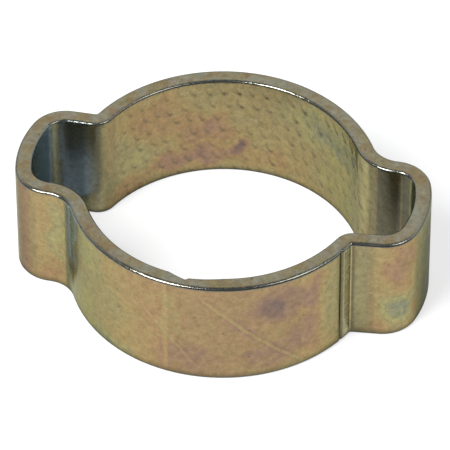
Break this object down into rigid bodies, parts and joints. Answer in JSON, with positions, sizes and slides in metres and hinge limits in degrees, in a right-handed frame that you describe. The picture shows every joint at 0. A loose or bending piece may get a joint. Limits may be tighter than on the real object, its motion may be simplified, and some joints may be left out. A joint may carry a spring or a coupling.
{
  "type": "ear hose clamp",
  "caption": "Round steel band with two hollow squared ears on opposite sides; the ears are pinched with pincers to tighten the band round a hose.",
  "frame": {"origin": "on the ring's axis, in the plane of the lower rim that the clamp lies on", "axes": "+Z along the hose, up out of the lower rim; +X from the axis through the right ear, whose tight root is on its -Y side"},
  "size_m": [0.0268, 0.0202, 0.008],
  "materials": {
    "chromated_steel": "zinc plated and yellow chromated, satin, with rainbow tints of gold, pink and grey-green"
  },
  "bodies": {
    "root": {"clamp_band": "chromated_steel"}
  },
  "joints": []
}
